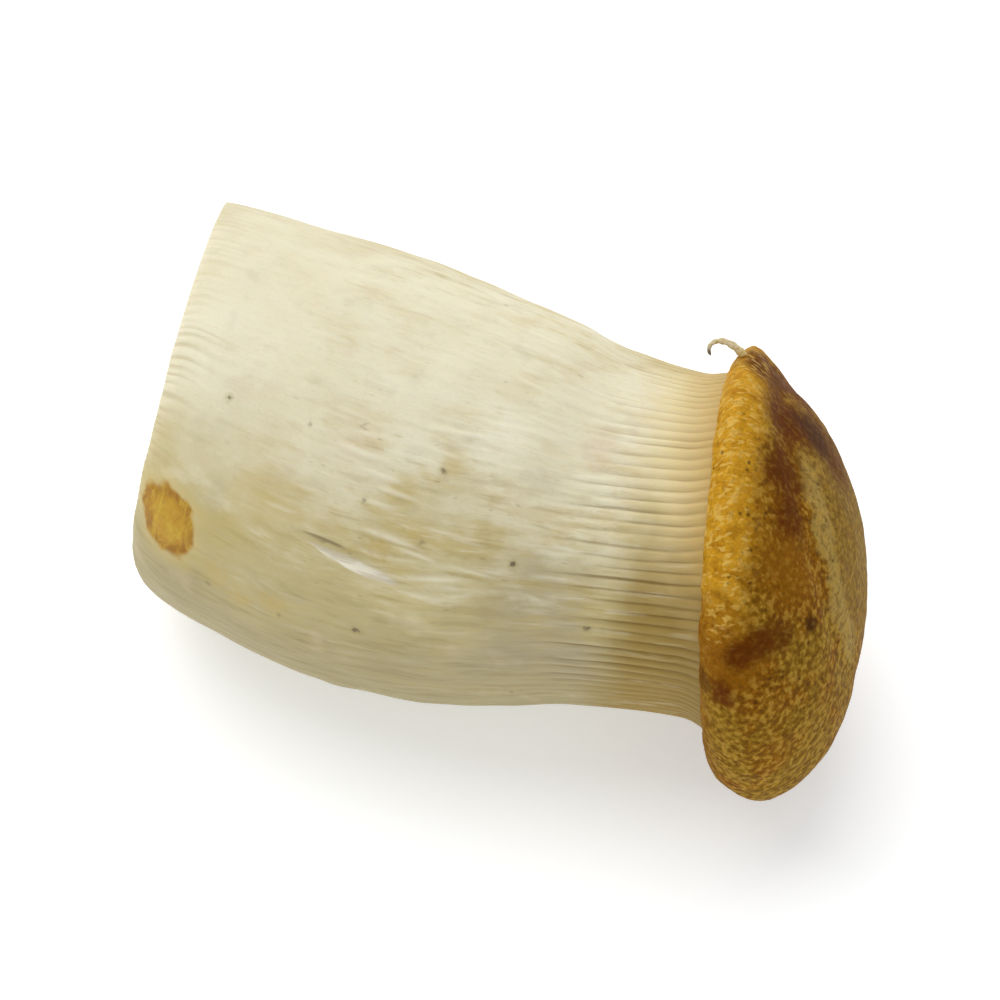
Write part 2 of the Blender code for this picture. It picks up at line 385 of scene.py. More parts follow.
def grow_cap(skin, last, walked):
    """The cap from the crease, round its rim and up to its crown."""
    sections = [cap_section(row, COLUMNS) for row in CAP_SECTIONS]
    axis = directions(CAP_YAW, CAP_PITCH)[0]
    places = spaced([ring[::COARSE] for ring in sections], 0, len(sections) - 1, CAP_STEP)
    for place in places[1:-1]:
        ring = loft(sections, place)
        walked = walked + np.linalg.norm(ring - last, axis=1)
        offset = ring - np.array(CAP_CENTRE)
        reach = np.linalg.norm(offset - np.outer(offset @ axis, axis), axis=1).mean()
        skin.add(ring, walked, CAP, columns_for(reach))
        last = ring
    skin.add_tip(sections[-1][0], walked.mean(), CAP)


def turn_from(angles, degrees):
    """How far each angle is turned from one in degrees, as radians from -pi to pi."""
    return (angles - math.radians(degrees) + math.pi) % TURN - math.pi


def along_line(skin, angles, start, end):
    """Share of the way along a line on the stem, and the distance beside it, downwards on the near side."""
    there = np.stack((skin.along - start[0], turn_from(angles, start[1]) * LINE_RADIUS), axis=1)
    line = np.array((end[0] - start[0], math.radians(end[1] - start[1]) * LINE_RADIUS))
    length = np.linalg.norm(line)
    return there @ line / length**2, (line[0] * there[:, 1] - line[1] * there[:, 0]) / length


def tapered(share):
    """1 in the middle of a line, 0 at both ends and beyond."""
    return np.sqrt(np.clip(4 * share * (1 - share), 0.0, 1.0))


def gills(skin):
    """Relief of the gills, how deep in a valley each point lies, and how strong the gills are there."""
    wobble = 0.16 * noise(skin.grain / (16.0, 2.2, 2.2), 3) + 0.06 * noise(skin.grain / (5.0, 1.2, 1.2), 4)
    phase = skin.angle / TURN * GILL_COUNT + wobble
    chance = random.Random(GILL_SEED)
    ends = np.array([chance.uniform(*GILL_ENDS) for _ in range(GILL_COUNT)])
    depths = np.array([chance.uniform(*GILL_DEPTH_SHARES) for _ in range(GILL_COUNT)])
    at = np.arange(GILL_COUNT) + 0.5
    end = np.interp(phase % GILL_COUNT, at, ends, period=GILL_COUNT)
    depth = np.interp(phase % GILL_COUNT, at, depths, period=GILL_COUNT)
    on_stem = skin.kind == STEM
    strength = np.clip((skin.along - end) / GILL_FADE_LENGTH, 0.0, 1.0) ** 1.5 * on_stem
    valley = ((1 - np.cos(TURN * phase)) / 2) ** 2.7
    broken = 1 + 0.16 * noise(skin.grain / (4.0, 1.2, 1.2), 5)
    lower = 0.56 * (1 - 0.4 * swell(skin.past_crease, -4.0, 0.0))
    relief = lower * GILL_DEPTH * strength * (0.30 - valley * depth * broken)
    faint = 0.05 * swell(skin.along, end - 10, end) * (1 - strength) * (0.4 - valley) * on_stem
    return relief + faint, valley * depth * broken, strength


def torn_fibres(skin):
    """Relief of the raised fibres, and how much of a fibre lies at each point."""
    chance = random.Random(FIBRE_SEED)
    fibres = [(skin.around, *fibre) for fibre in FIBRES]
    for _ in range(LOOSE_FIBRES):
        along, angle = chance.uniform(18.0, 60.0), chance.gauss(45.0, 60.0)
        length, turn = chance.uniform(2.0, 7.0), chance.uniform(-1.2, 1.2)
        shape = chance.uniform(0.16, 0.28), chance.uniform(0.04, 0.12)
        fibres.append((skin.angle, along, angle, length, turn, *shape))
    relief, amount = np.zeros(len(skin.along)), np.zeros(len(skin.along))
    for angles, along, angle, length, turn, width, height in fibres:
        share, beside = along_line(skin, angles, (along, angle), (along + length, angle + turn))
        form = tapered(share) * np.exp(-(beside / width) ** 2)
        sunk = tapered(share) * np.exp(-((beside + 2.2 * width) / width) ** 2)
        relief += height * form - 0.5 * height * sunk
        amount = np.maximum(amount, form * min(1.0, height / 0.16))
    return relief, amount


def slit_and_flap(skin):
    """Relief of the tear in the stem, how deep in it each point lies, and the pale flap below it."""
    share, beside = along_line(skin, skin.around, *SLIT)
    bend = beside + 0.22 * noise(skin.grain / (2.4, 2.0, 2.0), 14)
    cut = swell(share, 0.0, 0.5) * swell(share, 1.0, 0.7) * np.exp(-(bend / SLIT_HALF_WIDTH) ** 2)
    share, beside = along_line(skin, skin.around, *FLAP)
    bend = beside - 0.2 * np.sin(share * math.pi) + 0.22 * noise(skin.grain / (1.8, 0.7, 0.7), 13)
    inside = FLAP_HALF_WIDTH * np.clip(share * 2.0, 0.0, 1.0) * tapered(share) - np.abs(bend)
    form = swell(inside, -0.15, 0.45) * (0.75 + 0.25 * swell(bend, 0.6, -0.6))
    return FLAP_HEIGHT * form - SLIT_DEPTH * cut, cut, np.clip(inside, -2.0, 2.0)


def bruise(skin):
    """1 in the middle of the bruise near the foot, 0 at its uneven edge, and negative outside."""
    turn = (skin.around - math.radians(BRUISE[1])) * STEM_RADIUS
    across = np.abs(skin.along - BRUISE[0] - 0.06 * turn) / BRUISE_HALF[0]
    squared = across**BRUISE_SQUARENESS + np.abs(turn / BRUISE_HALF[1]) ** BRUISE_SQUARENESS
    uneven = 0.13 * noise(skin.points / 2.2, 21) + 0.07 * noise(skin.points / 0.9, 22)
    return 1 - squared ** (1 / BRUISE_SQUARENESS) + uneven


def stem_relief(skin):
    """Fibres, lumps and the ridges beside the knife cut, and how deep between the ridges each point lies."""
    grain, points = skin.grain, skin.points
    relief = 0.045 * noise(grain / (6.0, 1.0, 1.0), 31) + 0.06 * noise(grain / (10.0, 2.2, 2.2), 32)
    relief += 0.04 * noise(grain / (3.0, 0.7, 0.7), 33)
    relief *= swell(grain[:, 0], 4.0, 30.0) * 0.65 + 0.35
    relief += 0.22 * noise(points / 11.0, 34) + 0.12 * noise(points / 4.5, 35)
    uneven = 3.6 * noise(grain / (20.0, 3.0, 3.0), 36)
    ridges = np.cos(skin.angle * FRINGE_RIDGES + uneven)
    reach = FRINGE_REACH * (1 + 0.7 * noise(grain / (50.0, 1.6, 1.6), 37))
    fringe = np.exp(-(np.abs(skin.walked) / reach) ** 2) * (skin.kind == STEM)
    fringe *= 0.3 + 0.7 * swell(np.cos(skin.angle - math.radians(FRINGE_TOWARDS)), 0.70, 0.95)
    relief += FRINGE_HEIGHT * ridges * fringe * (0.35 + 0.65 * swell(skin.walked, 0.0, 1.5))
    return relief, np.clip(-ridges, 0.0, 1.0) * fringe


def cap_relief(skin):
    """Fine leathery bumps, larger lumps, radial fibrils by the rim and an uneven lower edge."""
    grain, points = skin.grain, skin.points
    relief = 0.045 * noise(points / 0.9, 41) + 0.05 * noise(points / 1.7, 42) + 0.07 * noise(points / 3.6, 43)
    relief += 0.16 * noise(points / 8.0, 44)
    by_rim = swell(-skin.cap_place[:, 2], -5.0, 1.0)
    relief += by_rim * (0.07 * noise(grain / (3.5, 0.9, 0.9), 45) + 0.12 * noise(grain / (8.0, 2.6, 2.6), 46))
    worms = 1 - np.abs(noise(points / 1.9, 47)) * 2
    return relief - 0.06 * swell(worms, 0.4, 1.0) * swell(skin.cap_place[:, 1], 6.0, 18.0)


def groove_and_dent(skin):
    """How far the cap is pressed in along its axis, as on the solid."""
    upwards, sideways, height = skin.cap_place.T
    over, beside = upwards - GROOVE_CENTRE[0], sideways - GROOVE_CENTRE[1]
    from_groove = (np.hypot(over, beside) - GROOVE_RADIUS) / GROOVE_WIDTH
    turned = np.arctan2(beside, over) - math.radians(GROOVE_DEEPEST_TOWARDS)
    groove = GROOVE_DEPTH * (1 + np.cos(turned)) / 2 * np.exp(-from_groove**2)
    from_dent = np.hypot(upwards - DENT_CENTRE[0], sideways - DENT_CENTRE[1]) / DENT_WIDTH
    return (groove + DENT_DEPTH * np.exp(-from_dent**2)) * np.clip(height / RIM_LEFT_PLAIN, 0.0, 1.0)


def foot_relief(skin):
    """Knife marks, a slight hollow and the ends of the fibres on the cut face."""
    points = skin.points
    inwards = np.clip(-skin.walked / FOOT_RADIUS, 0.0, 1.0)
    slanted = points[:, 1] * KNIFE_DIRECTION[0] + points[:, 2] * KNIFE_DIRECTION[1]
    waver = 1.2 * noise(points / 9.0, 51)
    marks = noise(np.stack((slanted / 1.5 + waver, points[:, 2] / 30.0, points[:, 1] * 0), axis=1), 52)
    relief = KNIFE_MARK_DEPTH * marks * swell(inwards, 0.0, 0.1) - FOOT_HOLLOW * swell(inwards, 0.0, 1.0)
    relief += 0.05 * noise(points / 0.9, 53) + 0.07 * noise(points / 3.0, 54)
    return relief - 0.18 * np.exp(-(skin.walked / 0.25) ** 2)


def vertex_normals(mesh):
    normals = np.zeros(len(mesh.vertices) * 3, dtype=np.float32)
    mesh.vertex_normals.foreach_get("vector", normals)
    return normals.reshape(-1, 3).astype(float)


def shaped(skin, mesh):
    """The points with all their relief, and the fields that the surface is coloured by."""
    on_foot, on_stem, on_cap = (skin.kind == kind for kind in (FOOT, STEM, CAP))
    gill, valley, gilled = gills(skin)
    fibre, fibre_amount = torn_fibres(skin)
    tear, slit, flap = slit_and_flap(skin)
    bruised = bruise(skin)
    calm = 1 - swell(bruised, -0.3, 0.1)
    plain, fringe = stem_relief(skin)
    stem = plain * (1 - 0.6 * gilled) + gill + (fibre + tear) * calm
    stem -= 0.10 * swell(bruised, -0.05, 0.25)
    stem += 0.05 * noise(skin.points / 0.8, 61) * swell(bruised, 0.0, 0.3)
    tucked = 0.30 * np.exp(-(skin.past_crease / 0.8) ** 2)
    relief = np.where(on_stem, stem, 0.0) + np.where(on_cap, cap_relief(skin), 0.0) - tucked
    relief = np.where(on_foot, foot_relief(skin), relief)
    axis = directions(CAP_YAW, CAP_PITCH)[0]
    points = skin.points + vertex_normals(mesh) * relief[:, None]
    points -= np.outer(np.where(on_cap, groove_and_dent(skin), 0.0), axis)
    fields = {
        "grain": skin.grain,
        "cap_place": skin.cap_place,
        "past_crease": skin.past_crease,
        "valley": np.clip(valley, 0.0, 1.0),
        "gilled": gilled,
        "fibre": fibre_amount,
        "fringe": fringe * calm,
        "slit": slit,
        "flap": flap,
        "bruise": bruised,
    }
    return points, fields


def laid_down(points):
    """Flattens the points where they rest and fits them to the solid's box. Returns metres."""
    low, high = (np.array(corner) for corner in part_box(NODE))
    points = points * MM
    points[:, 2] -= points[:, 2].min() + FLATTENED_WHERE_IT_LIES * MM
    points[:, 2] = np.maximum(points[:, 2], 0.0)
    for k in range(3):
        least, most = points[:, k].min(), points[:, k].max()
        points[:, k] = low[k] + (points[:, k] - least) / (most - least) * (high[k] - low[k])
    return points


def add_fields(mesh, fields):
    """Keeps values on the mesh's points, where the materials read them."""
    for name, values in fields.items():
        kind, key = ("FLOAT_VECTOR", "vector") if values.ndim == 2 else ("FLOAT", "value")
        attribute = mesh.attributes.new(name, kind, "POINT")
        attribute.data.foreach_set(key, values.astype(np.float32).ravel())


def nearest(skin, points, along, angle):
    """The finished point of the stem at that place along X and angle, in millimetres."""
    miss = np.hypot(skin.along - along, turn_from(skin.around, angle) * STEM_RADIUS)
    miss[skin.kind != STEM] = np.inf
    return tuple(points[int(np.argmin(miss))] / MM)


class Paint:
    """Short names for the shader nodes that the surfaces are mixed from."""

    def __init__(self, name):
        self.material = bpy.data.materials.new(name)
        self.material.use_nodes = True
        self.tree = self.material.node_tree
        self.shader = self.tree.nodes["Principled BSDF"]
        self.place = self.scaled(self.node("TexCoord").outputs["Object"], (1 / MM,) * 3)

    def node(self, kind, **settings):
        node = self.tree.nodes.new("ShaderNode" + kind)
        for name, value in settings.items():
            setattr(node, name, value)
        return node

    def fill(self, node, values):
        """Links or sets each of a node's sockets that is given a value."""
        for name, value in values.items():
            socket = node.inputs[name]
            if isinstance(value, bpy.types.NodeSocket):
                self.tree.links.new(value, socket)
            else:
                socket.default_value = (*value, 1.0) if socket.type == "RGBA" else value
        return node

    def field(self, name, vector=False):
        return self.node("Attribute", attribute_name=name).outputs["Vector" if vector else "Fac"]

    def maths(self, operation, first, second):
        return self.fill(self.node("Math", operation=operation), {0: first, 1: second}).outputs[0]

    def plus(self, first, second):
        return self.maths("ADD", first, second)

    def times(self, *values):
        total = values[0]
        for value in values[1:]:
            total = self.maths("MULTIPLY", total, value)
        return total

    def scaled(self, vector, factors):
        return self.fill(self.node("VectorMath", operation="MULTIPLY"), {0: vector, 1: factors}).outputs[0]

    def apart(self, vector, point):
        """Distance from a point."""
        node = self.node("VectorMath", operation="DISTANCE")
        return self.fill(node, {0: vector, 1: point}).outputs["Value"]

    def split(self, vector):
        return self.fill(self.node("SeparateXYZ"), {0: vector}).outputs

    def rise(self, value, low, high, start=0.0, end=1.0):
        """Goes smoothly from start to end as value goes from low to high."""
        ends = {"Value": value, "From Min": low, "From Max": high, "To Min": start, "To Max": end}
        return self.fill(self.node("MapRange", interpolation_type="SMOOTHSTEP"), ends).outputs["Result"]

    def noise(self, size, detail=2.0, roughness=0.5, at=None, warp=0.0):
        """Random values round 0.5, with bumps about size millimetres across."""
        values = {"Vector": at or self.place, "Scale": 1.0 / size, "Distortion": warp}
        values |= {"Detail": detail, "Roughness": roughness}
        return self.fill(self.node("TexNoise"), values).outputs[0]

    def fibrous(self, stretch, size, detail=2.0, roughness=0.5):
        """Noise that is drawn out along the fibres."""
        grain = self.scaled(self.field("grain", vector=True), (stretch, 1.0, 1.0))
        return self.noise(size, detail, roughness, grain)

    def cells(self, size):
        """Distance from the middle of each of many random cells."""
        values = {"Vector": self.place, "Scale": 1.0 / size}
        return self.fill(self.node("TexVoronoi"), values).outputs["Distance"]

    def mix(self, share, first, second):
        node = self.node("Mix", data_type="RGBA")
        return self.fill(node, {"Factor": share, 6: first, 7: second}).outputs[2]

    def over(self, colour, tint, value, low, high, strength, *masks):
        """Lays a tint over a colour, up to strength as value goes from low to high, inside the masks."""
        return self.mix(self.times(self.rise(value, low, high, 0.0, strength), *masks), colour, tint)

    def faded(self, colour, factor):
        """A colour made darker or lighter."""
        node = self.node("VectorMath", operation="SCALE")
        return self.fill(node, {0: colour, "Scale": factor}).outputs[0]


# Colours of the flesh and of the cap skin, as linear red, green and blue
CREAM = (0.84, 0.79, 0.59)
PALE = (0.89, 0.85, 0.67)
STRAW = (0.58, 0.495, 0.24)
# The next three are painted shade tones for the stem's lower side
PAINTED_SHADE = (0.38, 0.32, 0.16)
PAINTED_SHADE_DARK = (0.27, 0.215, 0.095)
PAINTED_SHADE_LIGHT = (0.50, 0.45, 0.30)
OLIVE = (0.42, 0.335, 0.13)
HONEY = (0.58, 0.44, 0.14)
DASH = (0.24, 0.18, 0.07)
GREY = (0.40, 0.345, 0.225)
PINK = (0.68, 0.54, 0.37)
GILL_CREST = (0.80, 0.67, 0.36)
GILL_OCHRE = (0.34, 0.225, 0.045)
GILL_GOLD = (0.52, 0.33, 0.070)
# The next two are painted shade: under the rim and in the gill valleys
GILL_RIM_SHADE = (0.30, 0.19, 0.035)
GILL_VALLEY_SHADE = (0.26, 0.155, 0.025)
FLAP_SHADE = (0.62, 0.56, 0.42)
FLAP_LIGHT = (0.86, 0.81, 0.67)
SLIT_SHADE = (0.27, 0.20, 0.09)
BRUISE_ORANGE = (0.53, 0.29, 0.020)
BRUISE_YELLOW = (0.60, 0.41, 0.035)
BRUISE_BROWN = (0.30, 0.125, 0.006)
BRUISE_HALO = (0.66, 0.50, 0.17)
SPECK = (0.08, 0.055, 0.03)
STAIN = (0.56, 0.40, 0.12)
CUT_LIGHT = (0.78, 0.74, 0.60)
CUT_SHADE = (0.70, 0.64, 0.47)
GOLD = (0.56, 0.285, 0.016)
GOLD_LIGHT = (0.74, 0.49, 0.12)
GOLD_DEEP = (0.40, 0.175, 0.006)
OLIVE_GOLD = (0.255, 0.14, 0.010)
RUST = (0.25, 0.095, 0.003)
RED_BROWN = (0.112, 0.028, 0.001)
DARK_BROWN = (0.062, 0.020, 0.002)
MOTTLE_DARK = (0.115, 0.040, 0.002)
MOTTLE_LIGHT = (0.46, 0.27, 0.040)
TAN = (0.25, 0.15, 0.024)
TAN_LIGHT = (0.40, 0.27, 0.070)
SHRED_LIGHT = (0.70, 0.62, 0.42)
SHRED_SHADE = (0.50, 0.38, 0.17)
SHRED_TIP = (0.12, 0.10, 0.07)

# Large soft patches on the stem: along X and angle, radius, strength and colour
# The pale patch at 48 mm along X and 22 degrees round is a painted highlight; the others are the flesh's own
# tone
CLOUDS = (
    (57.5, 73.0, 10.0, 0.60, GREY), (62.0, 92.0, 6.0, 0.60, GREY), (50.0, 94.0, 7.0, 0.35, GREY),
    (39.0, 56.0, 7.0, 0.45, STRAW), (44.5, 44.0, 5.0, 0.45, STRAW), (48.0, 22.0, 6.5, 0.85, PALE),
    (59.6, 15.0, 4.0, 0.45, PINK), (32.0, 38.0, 4.0, 0.35, PINK), (38.0, 32.0, 4.0, 0.6, PALE),
    (21.5, 56.0, 5.0, 0.45, HONEY), (17.5, 70.0, 4.0, 0.35, HONEY), (38.8, 46.0, 2.8, 0.55, HONEY),
    (41.7, 57.0, 2.6, 0.50, HONEY), (43.6, 35.0, 2.0, 0.50, HONEY), (12.0, 22.0, 9.0, 0.6, PALE),
    (45.0, 190.0, 9.0, 0.5, GREY), (30.0, 280.0, 8.0, 0.4, STRAW), (52.0, 310.0, 6.0, 0.5, PALE),
)
# Patches on the cap in its own frame: upwards, sideways and along its axis, radius, strength and colour
CAP_PATCHES = (
    (14.0, 24.5, -2.5, 6.0, 0.90, RUST), (18.5, 14.0, 5.6, 5.5, 0.70, RUST),
    (21.5, -15.0, 3.0, 5.0, 0.92, RED_BROWN), (16.0, -17.5, 5.5, 5.5, 0.92, RED_BROWN),
    (13.0, -8.0, 9.5, 6.0, 0.75, RED_BROWN), (22.6, 3.0, 4.8, 4.4, 0.97, RED_BROWN),
    (20.6, 8.6, 5.8, 3.4, 0.88, RED_BROWN), (20.8, -6.5, 5.0, 5.6, 0.96, RED_BROWN),
    (16.5, -7.8, 8.0, 3.8, 0.90, DARK_BROWN), (14.1, 24.2, 0.0, 2.1, 0.95, RED_BROWN),
    (14.6, 22.8, 2.4, 2.3, 0.90, RED_BROWN), (13.8, 20.8, 4.6, 2.3, 0.80, RED_BROWN),
    (11.6, 17.7, 7.9, 1.2, 0.95, DARK_BROWN), (8.7, 26.0, -2.5, 2.2, 0.92, RED_BROWN),
    (8.7, 23.6, -4.8, 1.8, 0.95, DARK_BROWN), (-17.0, 12.0, 6.0, 6.0, 0.70, RED_BROWN),
    (-8.0, -22.0, 3.0, 5.0, 0.75, RED_BROWN), (6.0, -25.0, 1.0, 4.0, 0.60, RUST),
    (-22.0, -8.0, 1.0, 4.5, 0.65, RUST),
)
DISC_CENTRE = (4.0, -3.0, 0.0)


def flesh_colour(paint, marks):
    """Cream flesh with soft streaks, a lower side painted darker and warmer as shade, gills, bruises and
    specks.
    """
    walked, upward, _ = paint.split(paint.field("grain", vector=True))
    broad = paint.plus(paint.noise(9.0, detail=3.0), -0.5)
    turned = paint.plus(upward, paint.times(broad, 16.0))
    # Painted shade: cream on top, straw lower down and a dark shade tone on the lower side, partly the
    # flesh's own warmer tone
    colour = paint.over(CREAM, STRAW, turned, 27.0, 8.0, 1.0)
    colour = paint.over(colour, PAINTED_SHADE, turned, 13.0, -8.0, 0.95)
    for centre, size, strength, tint in marks["clouds"]:
        away = paint.plus(paint.apart(paint.place, centre), paint.times(broad, 1.6 * size))
        colour = paint.over(colour, tint, away, 1.2 * size, 0.2 * size, strength)
    streaks = paint.fibrous(0.15, 1.1, detail=3.0, roughness=0.55)
    hairs = paint.fibrous(0.12, 0.38, roughness=0.6)
    patches = paint.fibrous(0.45, 3.6, detail=4.0, roughness=0.6)
    lively = paint.times(
        paint.rise(walked, 12.0, 30.0, 0.25, 1.0),
        paint.rise(patches, 0.36, 0.60, 0.45, 1.0),
        paint.rise(turned, 27.0, 18.0, 0.3, 1.0),
        paint.rise(turned, 2.0, 13.0, 0.25, 1.0),
    )
    colour = paint.over(colour, HONEY, patches, 0.48, 0.62, 0.40, lively)
    # Pale streaks held to the lit upper side: partly pale fibres, partly painted glints
    lit = paint.rise(turned, 4.0, 13.0, 0.2, 1.0)
    colour = paint.over(colour, PALE, streaks, 0.50, 0.74, 0.50, lively, lit)
    colour = paint.over(colour, OLIVE, streaks, 0.48, 0.32, 0.42, lively)
    colour = paint.over(colour, OLIVE, hairs, 0.45, 0.28, 0.30, lively)
    # Dark and light streaks in the painted shade tone of the lower side
    beneath = paint.rise(turned, 14.0, 2.0)
    colour = paint.over(colour, PAINTED_SHADE_DARK, streaks, 0.50, 0.34, 0.26, beneath)
    colour = paint.over(colour, PAINTED_SHADE_LIGHT, streaks, 0.52, 0.68, 0.22, beneath)
    colour = paint.over(colour, PALE, patches, 0.46, 0.30, 0.30, paint.rise(turned, 0.0, 12.0))
    colour = paint.mix(paint.times(paint.field("fringe"), 0.5), colour, OLIVE)
    blush = paint.noise(5.0)
    colour = paint.over(colour, PINK, blush, 0.60, 0.75, 0.22)
    colour = paint.over(colour, GREY, blush, 0.42, 0.28, 0.15)
    grit = paint.noise(0.5)
    colour = paint.over(colour, OLIVE, grit, 0.52, 0.75, 0.08)
    dashes = paint.fibrous(0.35, 0.6, detail=1.0)
    colour = paint.over(colour, DASH, dashes, 0.70, 0.80, 0.5, lively)
    colour = gilled_colour(paint, colour, turned, streaks)
    # Raised fibres painted paler on the upper side: partly their own pale tone, partly painted highlight
    shown = paint.rise(turned, 2.0, 13.0, 0.12, 0.7)
    colour = paint.mix(paint.times(paint.field("fibre"), shown), colour, PALE)
    flap = paint.over(FLAP_SHADE, FLAP_LIGHT, streaks, 0.42, 0.60, 1.0)
    colour = paint.over(colour, flap, paint.field("flap"), -0.10, 0.30, 0.9)
    colour = paint.over(colour, SLIT_SHADE, paint.field("slit"), 0.2, 0.9, 0.6)
    return bruised_colour(paint, specked_colour(paint, colour, marks), grit)


def gilled_colour(paint, colour, turned, streaks):
    """Pale crests and thin valleys darkened with painted shade, ochre on the lower side and golden beside the
    rim, with painted shade under the rim on the lower side and a painted shadow line along the crease.
    """
    past = paint.field("past_crease")
    crest = paint.over(GILL_CREST, GILL_OCHRE, turned, 25.0, 8.0, 1.0)
    crest = paint.over(crest, CREAM, streaks, 0.52, 0.75, 0.30)
    # Beside the rim: painted shade under the cap on the lower side, a golden tone on the upper side
    rim_gold_and_shade = paint.over(GILL_RIM_SHADE, GILL_GOLD, turned, 8.0, 21.0, 1.0)
    crest = paint.over(crest, rim_gold_and_shade, past, -8.0, -0.5, 0.85)
    near = paint.plus(past, paint.times(turned, -0.20))
    colour = paint.over(colour, crest, near, -18.0, -10.0, 0.92)
    # Painted shade in the gill valleys, darker on the lower side
    depth = paint.times(
        paint.rise(paint.field("valley"), 0.35, 1.0),
        paint.rise(paint.field("gilled"), 0.0, 0.9),
        paint.rise(turned, 26.0, 6.0, 0.45, 0.80),
        paint.rise(past, -5.0, -0.5, 1.0, 0.5),
    )
    colour = paint.mix(depth, colour, GILL_VALLEY_SHADE)
    # A painted shadow line along the crease under the rim
    return paint.over(colour, GILL_VALLEY_SHADE, past, -1.0, 0.0, 0.6)


def specked_colour(paint, colour, marks):
    """Small dark specks, and yellow stains with soft edges."""
    waver = paint.times(paint.plus(paint.noise(0.7), -0.5), 1.1)
    for centre, size in marks["stains"]:
        away = paint.plus(paint.apart(paint.place, centre), paint.times(waver, 4.0))
        colour = paint.over(colour, STAIN, away, 1.4 * size, 0.1 * size, 0.45)
    for centre, size, depth in marks["specks"]:
        away = paint.plus(paint.apart(paint.place, centre), waver)
        colour = paint.over(colour, OLIVE, away, 2.2 * size, 0.7 * size, 0.45 * depth)
        colour = paint.over(colour, SPECK, away, size, 0.3 * size, 0.9 * depth)
    return colour


def bruised_colour(paint, colour, grit):
    """The orange bruise near the foot, with its darker rim."""
    depth = paint.field("bruise")
    rim = paint.times(paint.rise(depth, -0.05, 0.10), paint.rise(depth, 0.50, 0.16))
    grain = paint.scaled(paint.field("grain", vector=True), (1.0, 0.45, 0.45))
    torn = paint.noise(1.3, detail=4.0, roughness=0.65, at=grain, warp=0.6)
    spot = paint.over(BRUISE_ORANGE, BRUISE_YELLOW, torn, 0.45, 0.68, 0.75)
    spot = paint.over(spot, BRUISE_BROWN, torn, 0.46, 0.34, 0.45)
    spot = paint.mix(paint.times(rim, paint.rise(torn, 0.62, 0.40, 0.15, 0.7)), spot, BRUISE_BROWN)
    spot = paint.over(spot, BRUISE_BROWN, grit, 0.58, 0.72, 0.3)
    colour = paint.over(colour, BRUISE_HALO, depth, -0.55, -0.02, 0.35)
    return paint.over(colour, spot, depth, -0.05, 0.12, 1.0)


def cap_colour(paint):
    """Golden margin, olive-brown lower side, red-brown patches and a greyish tan disc, finely mottled."""
    spot = paint.field("cap_place", vector=True)
    upward, sideways, height = paint.split(spot)
    waver = paint.plus(paint.noise(5.0, detail=5.0, roughness=0.65), -0.5)
    patches = paint.noise(8.0, detail=3.0, roughness=0.55)
    mottle = paint.noise(0.80, detail=1.5)
    margin = paint.rise(paint.plus(paint.field("past_crease"), paint.times(waver, 7.0)), 12.0, 7.0)
    high = paint.rise(paint.plus(upward, paint.times(waver, 16.0)), 12.5, 20.5)
    golden = paint.times(margin, high)
    reddish = paint.plus(patches, paint.rise(upward, 4.0, 16.0, 0.0, 0.16))
    brown = paint.over(OLIVE_GOLD, RUST, reddish, 0.46, 0.64, 0.85)
    deep = paint.noise(1.6)
    gold = paint.over(GOLD, GOLD_DEEP, deep, 0.50, 0.66, 0.8)
    gold = paint.over(gold, GOLD_LIGHT, deep, 0.46, 0.34, 0.5)
    colour = paint.mix(golden, brown, gold)
    from_disc = paint.apart(paint.scaled(spot, (1.0, 1.0, 0.0)), DISC_CENTRE)
    edge = paint.plus(from_disc, paint.times(waver, 5.0))
    shown = paint.rise(paint.plus(upward, paint.times(sideways, 1.6)), 12.0, 22.0)
    outer, inner = paint.rise(shown, 0.0, 1.0, 20.5, 17.6), paint.rise(shown, 0.0, 1.0, 8.0, 15.6)
    disc = paint.rise(edge, outer, inner)
    tan = paint.over(TAN, OLIVE_GOLD, patches, 0.44, 0.60, 0.6)
    colour = paint.mix(paint.times(disc, 0.92), colour, tan)
    band = paint.times(paint.rise(edge, 17.2, 16.2), paint.rise(edge, 12.8, 15.0), shown)
    colour = paint.mix(paint.times(band, 0.85), colour, TAN_LIGHT)
    rough = paint.times(paint.rise(golden, 0.0, 1.0, 1.0, 0.25), paint.rise(disc, 0.0, 1.0, 1.0, 0.65))
    colour = blotted_colour(paint, colour, mottle, rough)
    torn = paint.rise(mottle, 0.66, 0.44, 0.82, 1.0)
    for up, side, out, size, strength, tint in CAP_PATCHES:
        away = paint.plus(paint.apart(spot, (up, side, out)), paint.times(waver, 1.5 * size))
        colour = paint.over(colour, tint, away, 1.3 * size, 0.4 * size, strength, torn)
    return stippled_colour(paint, colour, golden, height)


def blotted_colour(paint, colour, mottle, rough):
    """Light and dark blots the size of a pinhead, and a few dark dots."""
    colour = paint.over(colour, MOTTLE_DARK, mottle, 0.49, 0.38, 0.60, rough)
    colour = paint.over(colour, MOTTLE_LIGHT, mottle, 0.52, 0.62, 0.60, rough)
    some = paint.rise(paint.noise(3.0), 0.48, 0.60)
    return paint.over(colour, DARK_BROWN, paint.cells(1.35), 0.28, 0.10, 0.7, some)


def stippled_colour(paint, colour, golden, height):
    """Suede-like grain all over, and short pale flecks beside the rim."""
    fine = paint.noise(0.42, roughness=0.6)
    colour = paint.over(colour, paint.faded(colour, 0.55), fine, 0.49, 0.32, 0.50)
    colour = paint.over(colour, paint.faded(colour, 1.5), fine, 0.54, 0.70, 0.40)
    flecks = paint.fibrous(0.40, 0.5, detail=1.0)
    by_rim = paint.times(paint.rise(height, 5.0, 0.0), golden)
    colour = paint.over(colour, GOLD_LIGHT, flecks, 0.54, 0.66, 0.6, by_rim)
    return paint.over(colour, RUST, height, -3.0, -6.5, 0.6)


